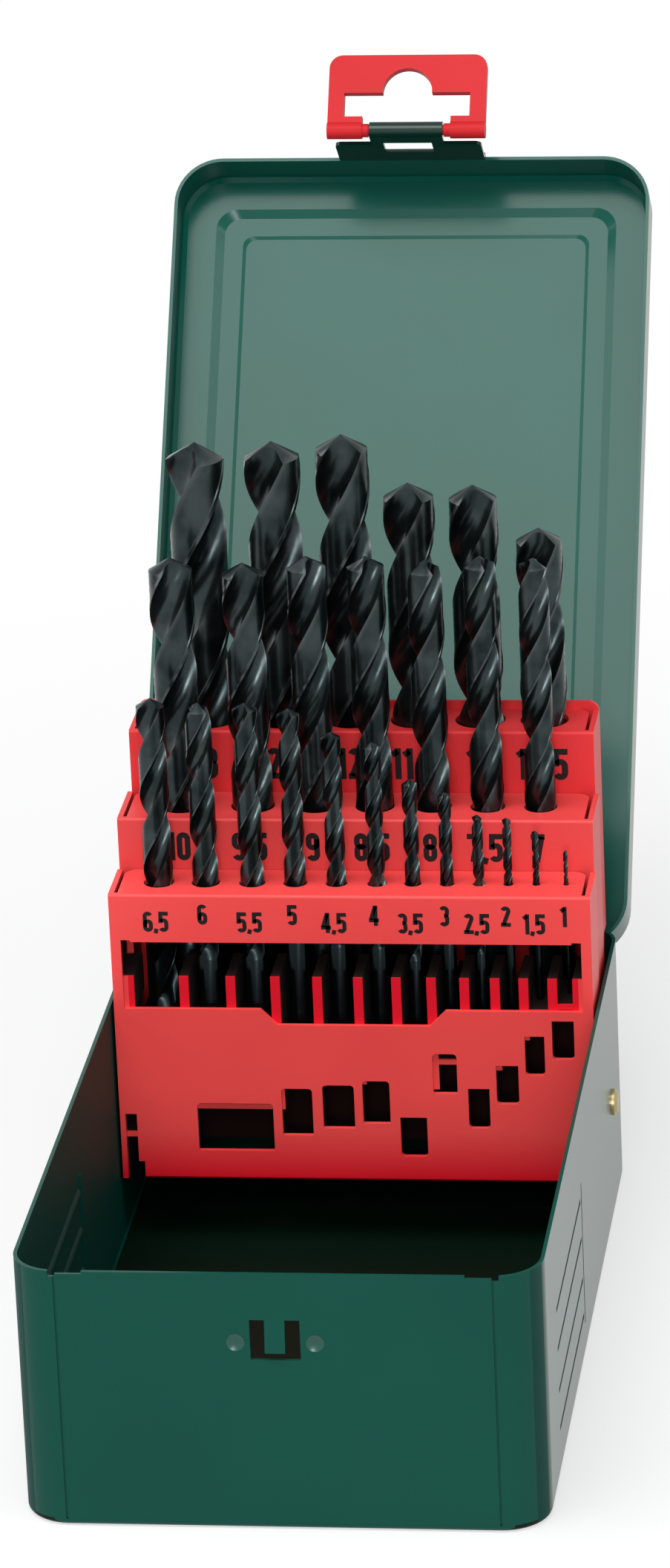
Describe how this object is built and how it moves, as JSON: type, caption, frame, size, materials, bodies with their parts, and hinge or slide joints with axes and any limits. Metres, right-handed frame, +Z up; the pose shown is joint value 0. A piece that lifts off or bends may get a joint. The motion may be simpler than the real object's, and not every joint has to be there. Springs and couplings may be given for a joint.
{
  "type": "drill bit case",
  "caption": "Steel drill case with hinged lid, tilting three-step rack, lift-out twist drills and hanger.",
  "frame": {"origin": "centre of the base's underside", "axes": "+Z up, front of the case faces -Y, +X to the right seen from the front"},
  "size_m": [0.1124, 0.3204, 0.2282],
  "materials": {
    "green_paint": "gloss",
    "dark_green_paint": "gloss",
    "red_plastic": "semi gloss",
    "black_oxide_steel": "black oxide",
    "steel": "bright",
    "brass": "satin"
  },
  "bodies": {
    "base": {"base_shell": "green_paint", "pivot_rivet_left": "brass", "pivot_rivet_right": "brass", "hinge_leaf_base": "green_paint", "hinge_pin": "steel"},
    "lid": {"lid_shell": "green_paint", "hinge_leaf_lid": "green_paint", "latch_plate": "dark_green_paint"},
    "hanger": {"hanger": "red_plastic"},
    "rack": {"rack_front": "red_plastic", "rack_middle": "red_plastic", "rack_back": "red_plastic"},
    "drill_01_0": {"drill_01_0": "black_oxide_steel"},
    "drill_01_5": {"drill_01_5": "black_oxide_steel"},
    "drill_02_0": {"drill_02_0": "black_oxide_steel"},
    "drill_02_5": {"drill_02_5": "black_oxide_steel"},
    "drill_03_0": {"drill_03_0": "black_oxide_steel"},
    "drill_03_5": {"drill_03_5": "black_oxide_steel"},
    "drill_04_0": {"drill_04_0": "black_oxide_steel"},
    "drill_04_5": {"drill_04_5": "black_oxide_steel"},
    "drill_05_0": {"drill_05_0": "black_oxide_steel"},
    "drill_05_5": {"drill_05_5": "black_oxide_steel"},
    "drill_06_0": {"drill_06_0": "black_oxide_steel"},
    "drill_06_5": {"drill_06_5": "black_oxide_steel"},
    "drill_07_0": {"drill_07_0": "black_oxide_steel"},
    "drill_07_5": {"drill_07_5": "black_oxide_steel"},
    "drill_08_0": {"drill_08_0": "black_oxide_steel"},
    "drill_08_5": {"drill_08_5": "black_oxide_steel"},
    "drill_09_0": {"drill_09_0": "black_oxide_steel"},
    "drill_09_5": {"drill_09_5": "black_oxide_steel"},
    "drill_10_0": {"drill_10_0": "black_oxide_steel"},
    "drill_10_5": {"drill_10_5": "black_oxide_steel"},
    "drill_11_0": {"drill_11_0": "black_oxide_steel"},
    "drill_11_5": {"drill_11_5": "black_oxide_steel"},
    "drill_12_0": {"drill_12_0": "black_oxide_steel"},
    "drill_12_5": {"drill_12_5": "black_oxide_steel"},
    "drill_13_0": {"drill_13_0": "black_oxide_steel"}
  },
  "joints": [
    {"name": "lid_hinge", "type": "hinge", "parent": "base", "child": "lid", "pos_m": [0, 0.0971, 0.051], "axis": [-1, 0, 0], "range_deg": [-128, 0]},
    {"name": "rack_tilt", "type": "hinge", "parent": "base", "child": "rack", "pos_m": [0, 0.068, 0.026], "axis": [-1, 0, 0], "range_deg": [-90, 0]},
    {"name": "hanger_hinge", "type": "hinge", "parent": "lid", "child": "hanger", "pos_m": [0, 0.20581, 0.21289], "axis": [-1, 0, 0], "range_deg": [-88, 80]},
    {"name": "drill_01_0_lift", "type": "slide", "parent": "rack", "child": "drill_01_0", "axis": [0, 0, 1], "range_m": [0, 0.0299]},
    {"name": "drill_01_5_lift", "type": "slide", "parent": "rack", "child": "drill_01_5", "axis": [0, 0, 1], "range_m": [0, 0.0313]},
    {"name": "drill_02_0_lift", "type": "slide", "parent": "rack", "child": "drill_02_0", "axis": [0, 0, 1], "range_m": [0, 0.0373]},
    {"name": "drill_02_5_lift", "type": "slide", "parent": "rack", "child": "drill_02_5", "axis": [0, 0, 1], "range_m": [0, 0.0446]},
    {"name": "drill_03_0_lift", "type": "slide", "parent": "rack", "child": "drill_03_0", "axis": [0, 0, 1], "range_m": [0, 0.0433]},
    {"name": "drill_03_5_lift", "type": "slide", "parent": "rack", "child": "drill_03_5", "axis": [0, 0, 1], "range_m": [0, 0.0493]},
    {"name": "drill_04_0_lift", "type": "slide", "parent": "rack", "child": "drill_04_0", "axis": [0, 0, 1], "range_m": [0, 0.0456]},
    {"name": "drill_04_5_lift", "type": "slide", "parent": "rack", "child": "drill_04_5", "axis": [0, 0, 1], "range_m": [0, 0.0483]},
    {"name": "drill_05_0_lift", "type": "slide", "parent": "rack", "child": "drill_05_0", "axis": [0, 0, 1], "range_m": [0, 0.0488]},
    {"name": "drill_05_5_lift", "type": "slide", "parent": "rack", "child": "drill_05_5", "axis": [0, 0, 1], "range_m": [0, 0.0545]},
    {"name": "drill_06_0_lift", "type": "slide", "parent": "rack", "child": "drill_06_0", "axis": [0, 0, 1], "range_m": [0, 0.0545]},
    {"name": "drill_06_5_lift", "type": "slide", "parent": "rack", "child": "drill_06_5", "axis": [0, 0, 1], "range_m": [0, 0.0615]},
    {"name": "drill_07_0_lift", "type": "slide", "parent": "rack", "child": "drill_07_0", "axis": [0, 0, 1], "range_m": [0, 0.0545]},
    {"name": "drill_07_5_lift", "type": "slide", "parent": "rack", "child": "drill_07_5", "axis": [0, 0, 1], "range_m": [0, 0.0541]},
    {"name": "drill_08_0_lift", "type": "slide", "parent": "rack", "child": "drill_08_0", "axis": [0, 0, 1], "range_m": [0, 0.0631]},
    {"name": "drill_08_5_lift", "type": "slide", "parent": "rack", "child": "drill_08_5", "axis": [0, 0, 1], "range_m": [0, 0.0621]},
    {"name": "drill_09_0_lift", "type": "slide", "parent": "rack", "child": "drill_09_0", "axis": [0, 0, 1], "range_m": [0, 0.0701]},
    {"name": "drill_09_5_lift", "type": "slide", "parent": "rack", "child": "drill_09_5", "axis": [0, 0, 1], "range_m": [0, 0.0717]},
    {"name": "drill_10_0_lift", "type": "slide", "parent": "rack", "child": "drill_10_0", "axis": [0, 0, 1], "range_m": [0, 0.0785]},
    {"name": "drill_10_5_lift", "type": "slide", "parent": "rack", "child": "drill_10_5", "axis": [0, 0, 1], "range_m": [0, 0.0917]},
    {"name": "drill_11_0_lift", "type": "slide", "parent": "rack", "child": "drill_11_0", "axis": [0, 0, 1], "range_m": [0, 0.0907]},
    {"name": "drill_11_5_lift", "type": "slide", "parent": "rack", "child": "drill_11_5", "axis": [0, 0, 1], "range_m": [0, 0.0902]},
    {"name": "drill_12_0_lift", "type": "slide", "parent": "rack", "child": "drill_12_0", "axis": [0, 0, 1], "range_m": [0, 0.0879]},
    {"name": "drill_12_5_lift", "type": "slide", "parent": "rack", "child": "drill_12_5", "axis": [0, 0, 1], "range_m": [0, 0.0895]},
    {"name": "drill_13_0_lift", "type": "slide", "parent": "rack", "child": "drill_13_0", "axis": [0, 0, 1], "range_m": [0, 0.0897]}
  ],
  "couplings": [
    {"joint": "rack_tilt", "follows": "lid_hinge", "ratio": 0.70312}
  ]
}
